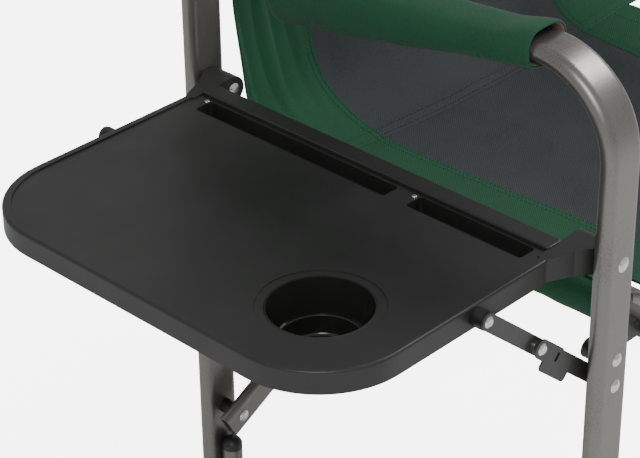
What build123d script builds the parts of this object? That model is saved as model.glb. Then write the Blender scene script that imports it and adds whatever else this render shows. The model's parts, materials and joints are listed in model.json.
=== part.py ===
from build123d import *
import math
import os

# Folding director chair with a drop-down side table.
# Millimetres. +Z is up and the sitter looks along -Y. The table hangs on the
# sitter's right side, at -X. The origin is on the floor, in the middle of the
# box that holds the open chair.

# ---------------------------------------------------------------- driving dimensions
frame_spacing = 540.0      # right side frame to left side frame, along X
leg_spacing = 440.0        # front leg centre to rear post centre, along Y
tube_width = 38.0          # flat-oval frame tube, across the chair
tube_depth = 16.0          # the same tube, fore and aft
tube_wall = 1.5
leg_offset = 2.0           # front leg and arm stand this far outboard of the post
post_top = 796.0
hinge_z = 472.0            # side table's hinge axis
arm_bend_radius = 70.0
arm_droop = 5.0            # degrees, falling towards the back
arm_bend_z = 556.0         # centre of the bend between leg and arm
foot_height = 30.0
foot_floor = 5.0

table_reach = 282.6        # hinge axis to the table's outer edge
table_inner = 17.7         # hinge axis to the table's inner edge
table_half = 192.7         # half of the table's length, along Y
table_top = 10.0           # above the hinge axis
table_skirt = 19.3
table_wall = 3.0
table_corner = 75.0
table_rim = 7.0
table_recess = 1.2
ear_inner = 183.5          # inner end of each hinge ear, along Y
ear_radius = 12.0
slot_width = 18.0
slot_depth = 14.0
cup_radius = 39.4
cup_ledge_radius = 34.0    # a can stands on this ledge
cup_ledge_depth = 30.0
cup_well_radius = 31.4     # a narrower cup goes on down into the well
cup_floor_radius = 30.4
cup_depth = 46.0
cup_at = (-200.8, -111.4)  # cup's axis, out from the hinge and along Y

pivot_in = 2.0             # cross-brace lower pivot, inboard of the post's centre
pivot_z = 130.0
rail_in = 60.0             # seat rail, inboard of the post's centre
rail_z = 385.0
rail_radius = 9.5
rail_front = -221.0
rail_rear = 206.0
bar_width = 28.0           # cross-brace tube, in the plane it swings in
bar_depth = 12.0
bar_tail = 17.0            # brace tube past its lower pivot
outer_bar_y = 193.0        # centre planes of the two crossing braces
inner_bar_y = 180.0
knuckle_radius = 13.5
knuckle_neck = 40.0        # knuckle's stem, from the rail's centre down into the tube

stretcher_radius = 9.5
stretcher_y = 202.4
stretcher_z = 30.0
stretcher_top = 88.0
stretcher_bend = 30.0
stretcher_rivet_z = 70.0
cap_plug = 9.0             # caps and plugs reach this far into their tubes
saddle_depth = 12.0
socket_depth = 30.0

link_table_in = 126.0      # folding table strut: pivot on the table, out from the hinge
link_drop = 109.0          # pivot on the leg, below the hinge
link_upper = 74.8          # strut's two halves fold flat against the leg
link_lower = 91.8
link_width = 14.0
link_thick = 2.0
latch_thick = 1.4
latch_half = 8.0           # half the latch plate's width
latch_end = 44.0           # latch plate's lower end, up from the strut's foot
latch_tab = 15.5           # thumb tab's lower edge, from the strut's centre line

rivet_shank = 3.0
rivet_head = 5.6
rivet_dome = 2.2
link_head = 1.2            # height of the struts' flat rivet heads
bore_gap = 0.06            # running clearance of a rivet in a moving part

seat_front = -190.0
seat_back = 150.0
seat_cloth = 2.2
sleeve_half = 171.0        # half length of the cloth sleeve on each seat rail
seat_sag = 14.0
seat_rise = 11.0           # seat cloth's edges, above the rails' centres
back_bottom = 432.0
back_flare = 540.0         # the back's sides run straight up to here, then spread to the posts
back_top = 786.0
back_sleeve_bottom = 620.0

# ---------------------------------------------------------------- derived dimensions
box_width = table_reach + frame_spacing + tube_width / 2 + leg_offset + 2.4
right_x = table_reach - box_width / 2
left_x = right_x + frame_spacing
front_y = -leg_spacing / 2
rear_y = leg_spacing / 2
face_y = leg_spacing / 2 - tube_depth / 2      # inner faces of leg and post
outer_y = leg_spacing / 2 + tube_depth / 2     # outer faces of leg and post
brace_rise = rail_z - pivot_z
brace_run = frame_spacing - pivot_in - rail_in
brace_angle = math.degrees(math.atan2(brace_rise, brace_run))
lower_arm = (frame_spacing / 2 - pivot_in) / math.cos(math.radians(brace_angle))
upper_arm = (frame_spacing / 2 - rail_in) / math.cos(math.radians(brace_angle))
centre_x = right_x + frame_spacing / 2
centre_z = pivot_z + lower_arm * math.sin(math.radians(brace_angle))
link_angle = math.degrees(math.atan2(link_drop, link_table_in))
arm_end_y = 205.0
arm_end_angle = 90.0 - arm_droop
arm_bend_end_y = front_y + arm_bend_radius * (1 + math.cos(math.radians(arm_end_angle)))
arm_bend_end_z = arm_bend_z + arm_bend_radius * math.sin(math.radians(arm_end_angle))
arm_slope = math.tan(math.radians(arm_droop))
saddle_rivet_z = rail_z + 2
latch_y = face_y - 3.2                         # inner faces of latch and strut halves
lower_link_y = latch_y - link_thick - 0.1
upper_link_y = lower_link_y - link_thick - 1.7
SIDES = (("right", right_x, 1), ("left", left_x, -1))
ENDS = (("front", -1), ("rear", 1))

os.makedirs("parts", exist_ok=True)


# ---------------------------------------------------------------- helpers
def save(part, name):
    """Label one finished piece and write its STEP file."""
    part.label = name
    export_step(part, f"parts/{name}.step")


def arm_z(y):
    """Height of the arm tube's centre line at y, on its straight run."""
    return arm_bend_end_z - (y - arm_bend_end_y) * arm_slope


def dome_rise(radius, rise):
    """Height of a spherical dome above its rim, halfway out to the rim."""
    ball = (radius**2 + rise**2) / (2 * rise)
    return math.sqrt(ball**2 - radius**2 / 4) - (ball - rise)


def rivet(x, z, near_y, far_y, shank=rivet_shank, head=rivet_head):
    """One rivet along Y, with a domed head beyond each of its two ends."""
    low, high = sorted((near_y, far_y))
    length = high - low
    half_rise = dome_rise(head, rivet_dome)
    with BuildSketch(Plane(origin=(x, low, z))) as profile:
        with BuildLine():
            ThreePointArc((0, -rivet_dome), (head / 2, -half_rise), (head, 0))
            Polyline((head, 0), (shank, 0), (shank, length), (head, length))
            ThreePointArc((head, length), (head / 2, length + half_rise), (0, length + rivet_dome))
            Line((0, length + rivet_dome), (0, -rivet_dome))
        make_face()
    revolve(profile.sketch, axis=Axis((x, low, z), (0, 1, 0)))


def drill(x, z, low_y, high_y, radius):
    """Cut one hole along Y."""
    with Locations(Plane(origin=(x, low_y, z), z_dir=(0, 1, 0))):
        Cylinder(radius, high_y - low_y, align=(Align.CENTER, Align.CENTER, Align.MIN), mode=Mode.SUBTRACT)


def oval_tube_sketch(width, depth, wall):
    """Section of a flat-oval tube, wide along the sketch's X."""
    SlotOverall(width, depth)
    SlotOverall(width - 2 * wall, depth - 2 * wall, mode=Mode.SUBTRACT)


# ---------------------------------------------------------------- side frames
def frame_holes(side):
    """Rivet holes, as (offset inboard, height), that a side's leg and post share."""
    holes = [(pivot_in, pivot_z), (0, saddle_rivet_z), (0, stretcher_rivet_z)]
    if side == "right":
        holes += [(0, hinge_z), (0, hinge_z - link_drop)]
    return holes


for side, plane_x, inward in SIDES:
    leg_x = plane_x - inward * leg_offset

    # front leg and armrest, bent from one tube
    with BuildPart() as leg_arm:
        with BuildLine(Plane.YZ.offset(leg_x)) as leg_path:
            Line((front_y, foot_floor), (front_y, arm_bend_z))
            CenterArc(
                center=(front_y + arm_bend_radius, arm_bend_z),
                radius=arm_bend_radius,
                start_angle=180,
                arc_size=-(90 + arm_droop),
            )
            Line((arm_bend_end_y, arm_bend_end_z), (arm_end_y, arm_z(arm_end_y)))
        with BuildSketch(Plane(origin=(leg_x, front_y, foot_floor))):
            oval_tube_sketch(tube_width, tube_depth, tube_wall)
        sweep(path=leg_path.wires()[0])
        for offset, height in frame_holes(side):
            drill(plane_x + inward * offset, height, -outer_y - 1, -face_y + 1, rivet_shank)
    save(leg_arm.part, f"{side}_leg_and_arm")

    # straight rear post
    with BuildPart() as post:
        with BuildSketch(Plane(origin=(plane_x, rear_y, foot_floor))):
            oval_tube_sketch(tube_width, tube_depth, tube_wall)
        extrude(amount=post_top - foot_floor)
        for offset, height in frame_holes(side) + [(0, arm_z(face_y))]:
            drill(plane_x + inward * offset, height, face_y - 1, outer_y + 1, rivet_shank)
    save(post.part, f"{side}_rear_post")

    # black plug in the post's top
    with BuildPart() as post_plug:
        with BuildSketch(Plane(origin=(plane_x, rear_y, post_top - 18))):
            SlotOverall(tube_width - 2 * tube_wall, tube_depth - 2 * tube_wall)
        extrude(amount=18)
        with BuildSketch(Plane(origin=(plane_x, rear_y, post_top))):
            SlotOverall(tube_width, tube_depth)
        extrude(amount=4)
        fillet(post_plug.faces().sort_by(Axis.Z)[-1].edges(), 2.5)
    save(post_plug.part, f"{side}_post_plug")

    # two foot caps pushed over the tube ends
    with BuildPart() as feet:
        for x, y in ((leg_x, front_y), (plane_x, rear_y)):
            with BuildSketch(Plane(origin=(x, y, 0))):
                SlotOverall(tube_width + 3, tube_depth + 3)
            extrude(amount=foot_height)
        fillet(feet.edges().group_by(Axis.Z)[0], 1.5)
        for x, y in ((leg_x, front_y), (plane_x, rear_y)):
            with BuildSketch(Plane(origin=(x, y, foot_floor))):
                SlotOverall(tube_width, tube_depth)
            extrude(amount=foot_height, mode=Mode.SUBTRACT)
    save(feet.part, f"{side}_foot_caps")

    # lower stretcher, a tube bent up at both ends against leg and post
    with BuildPart() as stretcher:
        with BuildLine(Plane.YZ.offset(plane_x)) as stretcher_path:
            FilletPolyline(
                (-stretcher_y, stretcher_top),
                (-stretcher_y, stretcher_z),
                (stretcher_y, stretcher_z),
                (stretcher_y, stretcher_top),
                radius=stretcher_bend,
            )
        with BuildSketch(Plane(origin=(plane_x, -stretcher_y, stretcher_top), z_dir=(0, 0, -1))):
            Circle(stretcher_radius)
            Circle(stretcher_radius - tube_wall, mode=Mode.SUBTRACT)
        sweep(path=stretcher_path.wires()[0])
        drill(plane_x, stretcher_rivet_z, -face_y - 1, face_y + 1, rivet_shank)
    save(stretcher.part, f"{side}_lower_stretcher")

    # domed caps on the stretcher's upturned ends
    with BuildPart() as stretcher_caps:
        for _, end in ENDS:
            cap_axis = Axis((plane_x, end * stretcher_y, 0), (0, 0, 1))
            bore = stretcher_radius - tube_wall
            crown = dome_rise(stretcher_radius, 7)
            cap_origin = (plane_x, end * stretcher_y, stretcher_top)
            with BuildSketch(Plane(origin=cap_origin, x_dir=(1, 0, 0), z_dir=(0, -1, 0))):
                with BuildLine():
                    Polyline(
                        (0, -cap_plug), (bore, -cap_plug), (bore, 0),
                        (stretcher_radius, 0), (stretcher_radius, 5),
                    )
                    ThreePointArc((stretcher_radius, 5), (stretcher_radius / 2, 5 + crown), (0, 12))
                    Line((0, 12), (0, -cap_plug))
                make_face()
            revolve(axis=cap_axis)
    save(stretcher_caps.part, f"{side}_stretcher_caps")

    # plastic socket that joins the arm's rear end to the post
    with BuildPart() as socket:
        socket_origin = (plane_x, face_y, arm_z(face_y))
        with BuildSketch(Plane(origin=socket_origin, x_dir=(1, 0, 0), z_dir=(0, -1, 0))):
            SlotOverall(tube_width + 4, tube_depth + 10)
        extrude(amount=socket_depth)
        fillet(socket.faces().sort_by(Axis.Y)[0].edges(), 2)
        arm_plane = Plane(
            origin=(leg_x, arm_end_y, arm_z(arm_end_y)),
            x_dir=(1, 0, 0),
            z_dir=(0, -1, arm_slope),
        )
        with BuildSketch(arm_plane):
            SlotOverall(tube_width + 0.2, tube_depth + 0.2)
        extrude(amount=60, mode=Mode.SUBTRACT)
        drill(plane_x, arm_z(face_y), face_y - 10, face_y + 1, rivet_shank)
    save(socket.part, f"{side}_arm_socket")

    # plastic saddles that the seat rail drops into, one behind the leg and one before the post
    with BuildPart() as saddles:
        for _, end in ENDS:
            saddle_origin = (plane_x, end * face_y, rail_z)
            saddle_plane = Plane(origin=saddle_origin, x_dir=(1, 0, 0), z_dir=(0, -end, 0))
            with BuildSketch(saddle_plane) as saddle_sketch:
                reach = inward * rail_in
                flip = 1 if end > 0 else -1
                with Locations((reach / 2, flip * 2)):
                    Rectangle(rail_in, 16.4)
                with Locations((-inward * 1, flip * 2)):
                    Circle(8.2)
                with Locations((reach, 0)):
                    Circle(13.2)
                with Locations((reach, 0)):
                    Circle(rail_radius + 0.4, mode=Mode.SUBTRACT)
                with Locations((reach, flip * 14)):
                    Rectangle(31, 20, mode=Mode.SUBTRACT)
            extrude(amount=saddle_depth)
            low_y, high_y = sorted((end * face_y, end * (face_y - saddle_depth)))
            drill(plane_x, saddle_rivet_z, low_y - 1, high_y + 1, rivet_shank)
    save(saddles.part, f"{side}_rail_saddles")

    # rivets that hold this side's fixed pieces together
    with BuildPart() as frame_rivets:
        for _, end in ENDS:
            rivet(plane_x, saddle_rivet_z, end * outer_y, end * (face_y - saddle_depth))
            rivet(plane_x, stretcher_rivet_z, end * outer_y, end * (stretcher_y - stretcher_radius))
        rivet(plane_x, arm_z(face_y), outer_y, arm_end_y - 0.7, head=5)
    save(frame_rivets.part, f"{side}_frame_rivets")

    # lower pivots of the cross-braces: a rivet and a spacer bush at the leg and at the post
    bar_y = outer_bar_y if side == "right" else inner_bar_y
    with BuildPart() as pivot_rivets:
        for _, end in ENDS:
            inner_end = bar_y - bar_depth / 2 - 0.3
            rivet(plane_x + inward * pivot_in, pivot_z, end * outer_y, end * inner_end)
    save(pivot_rivets.part, f"{side}_lower_pivot_rivets")

    with BuildPart() as bushes:
        for _, end in ENDS:
            start = bar_y + bar_depth / 2 + 0.3
            bush_plane = Plane(
                origin=(plane_x + inward * pivot_in, end * start, pivot_z), z_dir=(0, end, 0)
            )
            with BuildSketch(bush_plane):
                Circle(7)
                Circle(rivet_shank, mode=Mode.SUBTRACT)
            extrude(amount=face_y - start)
    save(bushes.part, f"{side}_pivot_bushes")

    # padded cloth sleeve on the armrest: snug at the front, deeper towards the back
    with BuildPart() as arm_sleeve:
        for y, drop in ((-128, 0), (128, 20)):
            sleeve_origin = (leg_x, y, arm_z(y) - drop / 2)
            sleeve_plane = Plane(origin=sleeve_origin, x_dir=(1, 0, 0), z_dir=(0, -1, 0))
            with BuildSketch(sleeve_plane):
                RectangleRounded(tube_width + 4.4, tube_depth + 6 + drop, 9)
        loft()
        sleeve_core = Plane(
            origin=(leg_x, 150, arm_z(150)), x_dir=(1, 0, 0), z_dir=(0, -1, arm_slope)
        )
        with BuildSketch(sleeve_core):
            SlotOverall(tube_width + 0.4, tube_depth + 0.4)
        extrude(amount=320, mode=Mode.SUBTRACT)
    save(arm_sleeve.part, f"{side}_arm_sleeve")

    # the back's cloth sleeve round the upper post
    with BuildPart() as back_sleeve:
        with BuildSketch(Plane(origin=(plane_x, rear_y, back_sleeve_bottom))):
            SlotOverall(tube_width + 4, tube_depth + 4)
            SlotOverall(tube_width + 0.7, tube_depth + 0.7, mode=Mode.SUBTRACT)
        extrude(amount=back_top - back_sleeve_bottom)
    save(back_sleeve.part, f"{side}_back_sleeve")

    # seat rail and its two end plugs
    rail_x = plane_x + inward * rail_in
    with BuildPart() as rail:
        with BuildSketch(Plane(origin=(rail_x, rail_front, rail_z), z_dir=(0, 1, 0))):
            Circle(rail_radius)
            Circle(rail_radius - tube_wall, mode=Mode.SUBTRACT)
        extrude(amount=rail_rear - rail_front)
    save(rail.part, f"{side}_seat_rail")

    with BuildPart() as rail_plugs:
        for y, end in ((rail_front, -1), (rail_rear, 1)):
            with BuildSketch(Plane(origin=(rail_x, y, rail_z), z_dir=(0, end, 0))):
                Circle(rail_radius)
            extrude(amount=2.5)
            with BuildSketch(Plane(origin=(rail_x, y, rail_z), z_dir=(0, -end, 0))):
                Circle(rail_radius - tube_wall)
            extrude(amount=12)
    save(rail_plugs.part, f"{side}_rail_plugs")

    # the seat's cloth sleeve on the rail
    with BuildPart() as seat_sleeve:
        with BuildSketch(Plane(origin=(rail_x, -sleeve_half, rail_z), z_dir=(0, 1, 0))):
            Circle(rail_radius + 2.4)
            Circle(rail_radius + 0.2, mode=Mode.SUBTRACT)
        extrude(amount=2 * sleeve_half)
    save(seat_sleeve.part, f"{side}_seat_sleeve")


# ---------------------------------------------------------------- cross-braces
# Brace a runs from the right frame's foot to the left seat rail, brace b from the
# left frame's foot to the right seat rail. Each has a front and a rear tube.
BRACES = (("a", right_x, 1, outer_bar_y), ("b", left_x, -1, inner_bar_y))

for brace, foot_x, lean, bar_y in BRACES:
    pivot_x = foot_x + lean * pivot_in
    slope = math.radians(brace_angle)
    along = Vector(lean * math.cos(slope), 0, math.sin(slope))
    length = lower_arm + upper_arm
    top = Vector(pivot_x, 0, pivot_z) + along * length

    for end_name, end in ENDS:
        start = Vector(pivot_x, end * bar_y, pivot_z) - along * bar_tail
        with BuildPart() as bar:
            with BuildSketch(Plane(origin=start, x_dir=(0, 1, 0), z_dir=along)):
                SlotOverall(bar_width, bar_depth, rotation=90)
                SlotOverall(bar_width - 3, bar_depth - 3, rotation=90, mode=Mode.SUBTRACT)
            extrude(amount=bar_tail + length - knuckle_radius)
            for distance in (0, lower_arm):
                spot = Vector(pivot_x, 0, pivot_z) + along * distance
                drill(spot.X, spot.Z, end * bar_y - 10, end * bar_y + 10, rivet_shank + bore_gap)
        save(bar.part, f"brace_{brace}_{end_name}_tube")

    # plastic knuckles on the tubes' top ends, turning on the seat rail
    with BuildPart() as knuckles:
        for _, end in ENDS:
            eye = Plane(origin=(top.X, end * bar_y - bar_depth / 2, top.Z), z_dir=(0, 1, 0))
            with BuildSketch(eye):
                Circle(knuckle_radius)
            extrude(amount=bar_depth)
            neck = Vector(top.X, end * bar_y, top.Z) - along * knuckle_neck
            with BuildSketch(Plane(origin=neck, x_dir=(0, 1, 0), z_dir=along)):
                SlotOverall(bar_width - 3.1, bar_depth - 3.1, rotation=90)
            extrude(amount=30)
            collar = Vector(top.X, end * bar_y, top.Z) - along * (knuckle_radius - 0.1)
            with BuildSketch(Plane(origin=collar, x_dir=(0, 1, 0), z_dir=along)):
                SlotOverall(bar_width, bar_depth, rotation=90)
            extrude(amount=8)
            drill(top.X, top.Z, end * bar_y - 20, end * bar_y + 20, rail_radius + bore_gap)
    save(knuckles.part, f"brace_{brace}_knuckles")

with BuildPart() as centre_rivets:
    for _, end in ENDS:
        rivet(centre_x, centre_z, end * (outer_bar_y + bar_depth / 2 + 0.3),
              end * (inner_bar_y - bar_depth / 2 - 0.3))
save(centre_rivets.part, "brace_centre_rivets")

with BuildPart() as centre_washers:
    for _, end in ENDS:
        gap_low = inner_bar_y + bar_depth / 2
        washer = Plane(origin=(centre_x, end * (gap_low + 0.15), centre_z), z_dir=(0, end, 0))
        with BuildSketch(washer):
            Circle(8)
            Circle(rivet_shank + 0.1, mode=Mode.SUBTRACT)
        extrude(amount=0.7)
save(centre_washers.part, "brace_centre_washers")


# ---------------------------------------------------------------- seat and back cloth
rail_gap = frame_spacing - 2 * rail_in
sleeve_outer = rail_radius + 2.4
panel_half = rail_gap / 2 - sleeve_outer - 1
cloth_z = rail_z + seat_rise
sag_z = cloth_z - seat_sag
seat_notch = 24.0

with BuildPart() as seat_panel:
    with BuildSketch(Plane(origin=(centre_x, seat_back, 0), x_dir=(1, 0, 0), z_dir=(0, -1, 0))):
        with BuildLine():
            ThreePointArc((-panel_half, cloth_z), (0, sag_z), (panel_half, cloth_z))
            Line((panel_half, cloth_z), (panel_half, cloth_z - seat_cloth))
            ThreePointArc((panel_half, cloth_z - seat_cloth), (0, sag_z - seat_cloth),
                          (-panel_half, cloth_z - seat_cloth))
            Line((-panel_half, cloth_z - seat_cloth), (-panel_half, cloth_z))
        make_face()
    extrude(amount=seat_back - seat_front)
    for lean in (-1, 1):
        with Locations((centre_x + lean * panel_half, seat_front, cloth_z)):
            Box(2 * seat_notch, 2 * seat_notch, 40, mode=Mode.SUBTRACT)
save(seat_panel.part, "seat_panel")

back_half = frame_spacing / 2 - tube_width / 2 - 3
lower_half = frame_spacing / 2 - 32
with BuildPart() as back_panel:
    with BuildSketch(Plane(origin=(centre_x, rear_y - 8, 0), x_dir=(1, 0, 0), z_dir=(0, -1, 0))):
        with BuildLine():
            Polyline(
                (-lower_half, back_bottom), (lower_half, back_bottom),
                (lower_half, back_flare), (back_half, back_sleeve_bottom), (back_half, back_top),
                (-back_half, back_top), (-back_half, back_sleeve_bottom), (-lower_half, back_flare),
                close=True,
            )
        make_face()
    extrude(amount=seat_cloth)
save(back_panel.part, "back_panel")

# lower flap of the back, sloping forward and down between the rails to the seat's rear hem
flap_half = rail_gap / 2 - 22
with BuildPart() as back_flap:
    flap_top = (rear_y - 8 - 1.2, back_bottom - 1)
    flap_foot = (seat_back + 3, sag_z + 2)
    with BuildSketch(Plane.YZ.offset(centre_x - flap_half)):
        with BuildLine():
            Polyline(
                flap_top, (flap_top[0] - 1.8, flap_top[1] - 0.2),
                (flap_foot[0], flap_foot[1] + 1.5), (flap_foot[0] + 1.2, flap_foot[1]),
                close=True,
            )
        make_face()
    extrude(amount=2 * flap_half)
save(back_flap.part, "back_flap")


# ---------------------------------------------------------------- side table
def table_outline(inset):
    """Outline of the table top, shrunk by inset, on the current sketch."""
    width = table_reach - table_inner - 2 * inset
    height = 2 * (table_half - inset)
    with Locations((-(table_reach + table_inner) / 2, 0)):
        Rectangle(width, height)
    corners = table_sketch.vertices().group_by(Axis.X)
    fillet(corners[0], table_corner - inset)
    fillet(table_sketch.vertices().group_by(Axis.X)[-1], max(12 - inset, 3))


top_z = hinge_z + table_top
slots = ((-48.0, 65.0, 210.0), (-47.0, -118.5, 113.0))   # centre out, centre along Y, length
cup_x = right_x + cup_at[0]
cup_plane = Plane(origin=(cup_x, cup_at[1], top_z), x_dir=(1, 0, 0), z_dir=(0, -1, 0))

with BuildPart() as table:
    with BuildSketch(Plane(origin=(right_x, 0, top_z - table_skirt))) as table_sketch:
        table_outline(0)
    extrude(amount=table_skirt)
    fillet(table.faces().sort_by(Axis.Z)[-1].edges(), 2.5)
    with BuildSketch(Plane(origin=(right_x, 0, top_z - table_recess))) as table_sketch:
        table_outline(table_rim)
    extrude(amount=5, mode=Mode.SUBTRACT)
    with BuildSketch(Plane(origin=(right_x, 0, top_z - table_skirt))) as table_sketch:
        table_outline(table_wall)
    extrude(amount=table_skirt - table_recess - table_wall, mode=Mode.SUBTRACT)

    # ridge between the slots and the inner edge
    with BuildSketch(Plane(origin=(right_x - 26.5, 0, top_z - 4))):
        RectangleRounded(17, 2 * table_half - 16, 4)
    extrude(amount=6)
    fillet(table.faces().sort_by(Axis.Z)[-1].edges(), 1.5)

    # stiffening ribs under the top
    for rib_y in (-60.0, 0.0, 60.0, 120.0):
        with Locations((right_x - 165, rib_y, top_z - 8)):
            Box(200, 2, 10)
    for rib_x in (-110.0, -240.0):
        with Locations((right_x + rib_x, 20, top_z - 8)):
            Box(2, 300, 10)

    # cup holder: seat ring, tapered wall down to a ledge, and a narrower well below it
    with BuildSketch(cup_plane):
        with BuildLine():
            Polyline(
                (0, -cup_depth - 2), (cup_floor_radius + 2, -cup_depth - 2),
                (cup_well_radius + 2, -cup_ledge_depth - 2), (cup_ledge_radius + 2, -cup_ledge_depth - 2),
                (cup_radius + 2.4, -2.8), (cup_radius + 12, -2.8), (cup_radius + 12, -table_recess),
                (0, -table_recess), close=True,
            )
        make_face()
    revolve(axis=Axis((cup_x, cup_at[1], 0), (0, 0, 1)))
    with BuildSketch(cup_plane):
        with BuildLine():
            Polyline((0, -cup_depth), (cup_floor_radius - 3, -cup_depth))
            ThreePointArc(
                (cup_floor_radius - 3, -cup_depth), (cup_floor_radius - 0.9, -cup_depth + 0.9),
                (cup_floor_radius, -cup_depth + 3),
            )
            Polyline(
                (cup_floor_radius, -cup_depth + 3), (cup_well_radius, -cup_ledge_depth - 0.6),
                (cup_well_radius + 0.6, -cup_ledge_depth), (cup_ledge_radius, -cup_ledge_depth),
                (cup_radius, -2.2), (cup_radius + 8.5, -2.2), (cup_radius + 9.3, 1), (0, 1), (0, -cup_depth),
            )
        make_face()
    revolve(axis=Axis((cup_x, cup_at[1], 0), (0, 0, 1)), mode=Mode.SUBTRACT)

    # two troughs that hold a tablet or a telephone upright
    for slot_x, slot_y, slot_length in slots:
        with BuildSketch(Plane(origin=(right_x + slot_x, slot_y, top_z - slot_depth - 2.5))):
            RectangleRounded(slot_width + 4, slot_length + 4, 4)
        extrude(amount=slot_depth)
    for slot_x, slot_y, slot_length in slots:
        with BuildSketch(Plane(origin=(right_x + slot_x, slot_y, top_z - slot_depth))):
            RectangleRounded(slot_width, slot_length, 3)
        extrude(amount=slot_depth + 6, mode=Mode.SUBTRACT)

    # hinge ears, flared towards leg and post
    for _, end in ENDS:
        flip = -end
        ear_plane = Plane(origin=(right_x, end * ear_inner, hinge_z), x_dir=(1, 0, 0), z_dir=(0, end, 0))
        with BuildSketch(ear_plane):
            with BuildLine():
                ThreePointArc((0, flip * ear_radius), (ear_radius, 0), (0, -flip * ear_radius))
                Polyline((0, -flip * ear_radius), (-46, -flip * (table_skirt - table_top)),
                         (-46, flip * table_top), (0, flip * ear_radius))
            make_face()
        extrude(amount=face_y - 1.2 - ear_inner)
        with BuildSketch(Plane(origin=(right_x, 0, hinge_z - 20))):
            with BuildLine():
                Polyline(
                    (-47, end * (table_half - 0.5)), (-24, end * (table_half + 8)),
                    (-8, end * (face_y - 1)), (-8, end * (face_y + 4)),
                    (-47, end * (face_y + 4)), close=True,
                )
            make_face()
        extrude(amount=40, mode=Mode.SUBTRACT)
        drill(right_x, hinge_z, min(end * 170, end * 220), max(end * 170, end * 220), 4 + bore_gap)
save(table.part, "side_table")

# hinge pins: long rivets through leg or post and the table's ear
with BuildPart() as hinge_pins:
    for _, end in ENDS:
        rivet(right_x, hinge_z, end * outer_y, end * (ear_inner - 0.4), shank=4.0, head=6.2)
        drill(right_x, hinge_z, min(end * face_y, end * outer_y), max(end * face_y, end * outer_y), 12)
        with Locations(Plane(origin=(right_x, end * face_y, hinge_z), z_dir=(0, end, 0))):
            Cylinder(rivet_shank, tube_depth, align=(Align.CENTER, Align.CENTER, Align.MIN))
save(hinge_pins.part, "table_hinge_pins")

# small rivets that hold the ridge's inner stiffener
with BuildPart() as table_rivets:
    for y in (172.0, -58.5):
        with Locations((right_x - 41.5, y, top_z - table_recess)):
            Cylinder(2.2, 1.2, align=(Align.CENTER, Align.CENTER, Align.MIN))
    fillet(table_rivets.faces().sort_by(Axis.Z)[-2:].edges(), 0.7)
save(table_rivets.part, "table_rivets")


# ---------------------------------------------------------------- folding table struts
link_x = right_x - link_table_in
link_foot_z = hinge_z - link_drop
link_run = math.cos(math.radians(link_angle))
link_rise = math.sin(math.radians(link_angle))
mid_x = right_x - link_lower * link_run
mid_z = link_foot_z + link_lower * link_rise


def strut_plane(end, y):
    """Sketch plane on the strut's foot pivot, its X running up the strut to the table."""
    foot = (right_x, end * y, link_foot_z)
    return Plane(origin=foot, x_dir=(-link_run, 0, link_rise), z_dir=(0, end, 0))


# spacer bosses on the table's short sides, where the struts' top ends turn
with BuildPart() as bosses:
    for _, end in ENDS:
        with Locations(Plane(origin=(link_x, end * table_half, hinge_z), z_dir=(0, end, 0))):
            Cylinder(7.5, upper_link_y - 0.3 - table_half, align=(Align.CENTER, Align.CENTER, Align.MIN))
save(bosses.part, "table_strut_bosses")

# foot rivets of the struts, through leg and post
with BuildPart() as foot_rivets:
    for _, end in ENDS:
        rivet(right_x, link_foot_z, end * outer_y, end * (lower_link_y - 0.2))
save(foot_rivets.part, "strut_foot_rivets")

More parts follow.
